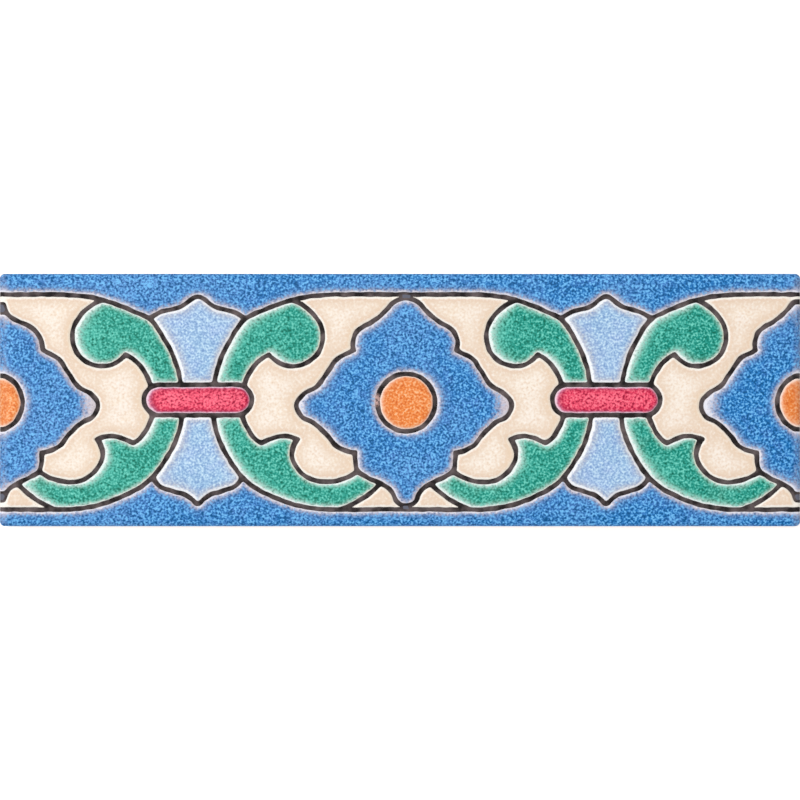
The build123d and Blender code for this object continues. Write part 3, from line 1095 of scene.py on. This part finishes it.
class TILE_OT_glazes(bpy.types.Operator):
    """Fill the fields of the ornament with their glazes."""

    bl_idname = "border_tile.glazes"
    bl_label = "Glazes"

    def execute(self, context):
        sizes = context.scene.border_tile_sizes
        colours = context.scene.border_tile_colours
        stations = rim_stations(tile, ARRIS_STEP)
        own_sizes = ("Bank Width", "Crown Height", "Edge Height", "Ripple Size", "Ripple Height")
        own_sizes += ("Thin From", "Thin To", "Thin Share", "Lip Width")
        tree = coat_tree("Glaze Coat", wrap_tree(), own_sizes, glaze_shape)
        for glaze, fields in sorted(glaze_fields(tile, sizes).items()):
            sheet = Sheet()
            for loops, lips in fields:
                nearby = point_tree(np.concatenate(loops))
                scatter = Scatter()
                ring_points(loops, nearby, RINGS, scatter)
                if any(lip.any() for lip in lips):
                    arris_points(tile, loops, nearby, stations, scatter)
                lattice_points(loops, nearby, scatter)
                sheet.add_field(loops, lips, scatter.points)
            piece = sheet.slab(glaze + "_glaze")
            name = f"Fired {glaze.capitalize()} Glaze"
            material = glaze_material(name, GLAZES[glaze], getattr(colours, glaze))
            shaped(piece, tree, {
                **base_values(tile),
                "Sunk Depth": GLAZE_ROOT,
                "Bank Width": sizes.bank_width,
                "Crown Height": sizes.crown_height,
                "Edge Height": sizes.edge_height,
                "Ripple Size": sizes.ripple_size,
                "Ripple Height": sizes.ripple_height,
                "Thin From": THIN_FROM,
                "Thin To": THIN_TO,
                "Thin Share": THIN_SHARE,
                "Lip Width": LIP_WIDTH,
                "Material": material,
            })
            hand_over(piece)
        return {"FINISHED"}


class TILE_OT_dry_line(bpy.types.Operator):
    """Lay the dark dry line in the channels between the glazes."""

    bl_idname = "border_tile.dry_line"
    bl_label = "Dry Line"

    def execute(self, context):
        sizes = context.scene.border_tile_sizes
        fields = [field for group in glaze_fields(tile, sizes).values() for field in group]
        loops = [loop for outlines, _ in fields for loop in outlines]
        nearby = point_tree(np.concatenate(loops))
        scatter = Scatter()
        ring_points(loops, nearby, LINE_RINGS, scatter, side=-1)
        ring_points(loops, nearby, UNDERLAP_RINGS, scatter)
        end = tile.arris * math.pi / 2 + LINE_DROP
        kept = [(x, y) for x, y in scatter.points if tile.beyond(x, y) < end]
        places, edges, faces, _, edge_origins, _ = triangulated(loops, kept)
        sheet = Sheet()
        sheet.points = [tuple(place) for place in places]
        sheet.shore = {frozenset(edge) for edge, origin in zip(edges, edge_origins) if origin}
        flat = np.array(sheet.points)
        middles = np.array([flat[list(face)].mean(axis=0) for face in faces])
        glazed = contains(loops, middles)
        wanted = []
        for face, (x, y), covered in zip(faces, middles, glazed):
            near = nearby.find((x, y, 0))[2] < UNDERLAP_KEPT * LINE_UNDERLAP * MM
            if (near or not covered) and all(tile.beyond(*flat[i]) < end for i in face):
                wanted.append(tuple(face))
        sheet.keep(wanted)
        piece = sheet.slab("dry_line")
        own_sizes = ("Bead Width", "Bead Height", "Line Height")
        tree = coat_tree("Dry Line Coat", wrap_tree(), own_sizes, line_shape)
        shaped(piece, tree, {
            **base_values(tile),
            "Sunk Depth": LINE_ROOT,
            "Bead Width": BEAD_WIDTH,
            "Bead Height": sizes.bead_height,
            "Line Height": sizes.line_height,
            "Material": line_material(context.scene.border_tile_colours.dry_line),
        })
        hand_over(piece)
        return {"FINISHED"}


# Half the floor's side, how far it lies under the bedding face so that the two aren't in one plane, its matt
# surface, and the light of its own that only the camera sees, so that it is nearly white
FLOOR_HALF = 3.0
FLOOR_GAP = 0.1 * MM
FLOOR_ROUGHNESS = 0.9
FLOOR_GLOW = 0.5

# Side of the soft lamp, its place beyond the tile's upper left, and how far the camera sees
LAMP_SIDE = 0.8
LAMP_PLACE = (-0.55, 0.25, 1.3)
CAMERA_REACH = 10
WHITE = (1.0, 1.0, 1.0, 1.0)


class TILE_OT_stage(bpy.types.Operator):
    """Set the floor, the light and the camera over the tile."""

    bl_idname = "border_tile.stage"
    bl_label = "Stage"

    def execute(self, context):
        scene = context.scene
        settings = scene.border_tile_stage
        mesh = bpy.data.meshes.new("floor")
        sides = [(-1, -1), (1, -1), (1, 1), (-1, 1)]
        corners = [(x * FLOOR_HALF, y * FLOOR_HALF, -FLOOR_GAP) for x, y in sides]
        mesh.from_pydata(corners, [], [(0, 1, 2, 3)])
        material, tree = empty_material("Pale Studio Floor")
        camera_ray = add_node(tree, "ShaderNodeLightPath").outputs["Is Camera Ray"]
        lift = add_node(tree, MATH, {0: camera_ray, 1: FLOOR_GLOW}, operation="MULTIPLY")
        surface = add_node(
            tree, "ShaderNodeBsdfPrincipled",
            {"Base Color": (*scene.border_tile_colours.floor, 1.0), "Roughness": FLOOR_ROUGHNESS,
             "Emission Color": WHITE, "Emission Strength": lift},
        )
        add_node(tree, "ShaderNodeOutputMaterial", {"Surface": surface})
        mesh.materials.append(material)
        floor = bpy.data.objects.new("floor", mesh)
        scene.collection.objects.link(floor)

        world = bpy.data.worlds.new("Studio")
        world.use_nodes = True
        tree = world.node_tree
        tree.nodes.clear()
        camera_ray = add_node(tree, "ShaderNodeLightPath").outputs["Is Camera Ray"]
        strength = add_node(tree, MIX, {0: camera_ray, 2: settings.fill, 3: 1.0}, data_type="FLOAT")
        sky = add_node(tree, "ShaderNodeBackground", {"Color": WHITE, "Strength": strength})
        add_node(tree, "ShaderNodeOutputWorld", {"Surface": sky})
        scene.world = world

        lamp = bpy.data.lights.new("soft_lamp", "AREA")
        lamp.shape = "SQUARE"
        lamp.size = LAMP_SIDE
        lamp.energy = settings.lamp_power
        softbox = bpy.data.objects.new("soft_lamp", lamp)
        softbox.location = LAMP_PLACE
        softbox.rotation_euler = (-softbox.location).to_track_quat("-Z", "Y").to_euler()
        scene.collection.objects.link(softbox)

        camera = bpy.data.cameras.new("camera")
        camera.sensor_width = settings.sensor_width
        camera.lens = settings.sensor_width * settings.camera_height / (tile.high.x - tile.low.x)
        camera.clip_end = CAMERA_REACH
        eye = bpy.data.objects.new("camera", camera)
        eye.location = (0, 0, tile.high.z + settings.camera_height)
        scene.collection.objects.link(eye)
        scene.camera = eye
        scene.view_settings.view_transform = "Standard"
        return {"FINISHED"}


class TILE_PT_panel(bpy.types.Panel):
    """List the steps and the sizes of the tile."""

    bl_label = "Glazed Border Tile"
    bl_idname = "TILE_PT_panel"
    bl_space_type = "VIEW_3D"
    bl_region_type = "UI"
    bl_category = "Tile"

    def draw(self, context):
        scene = context.scene
        for operator in OPERATORS:
            self.layout.operator(operator.bl_idname)
        for group in (scene.border_tile_sizes, scene.border_tile_colours, scene.border_tile_stage):
            box = self.layout.box()
            for name in group.bl_rna.properties.keys():
                if name not in ("rna_type", "name"):
                    box.prop(group, name)


GROUPS = (CoatSizes, ClayColours, StageSettings)
OPERATORS = (TILE_OT_bisque, TILE_OT_dry_line, TILE_OT_glazes, TILE_OT_stage)


def register():
    """Register the classes and hang the settings on the scene."""
    for group in (*GROUPS, *OPERATORS, TILE_PT_panel):
        bpy.utils.register_class(group)
    bpy.types.Scene.border_tile_sizes = PointerProperty(type=CoatSizes)
    bpy.types.Scene.border_tile_colours = PointerProperty(type=ClayColours)
    bpy.types.Scene.border_tile_stage = PointerProperty(type=StageSettings)


def unregister():
    """Take the settings off the scene and unregister the classes."""
    del bpy.types.Scene.border_tile_stage
    del bpy.types.Scene.border_tile_colours
    del bpy.types.Scene.border_tile_sizes
    for group in reversed((*GROUPS, *OPERATORS, TILE_PT_panel)):
        bpy.utils.unregister_class(group)


def main():
    """Build the tile and its stage."""
    register()
    bpy.ops.border_tile.bisque()
    bpy.ops.border_tile.dry_line()
    bpy.ops.border_tile.glazes()
    bpy.ops.border_tile.stage()
    bpy.context.view_layer.update()


if __name__ == "__main__":
    main()
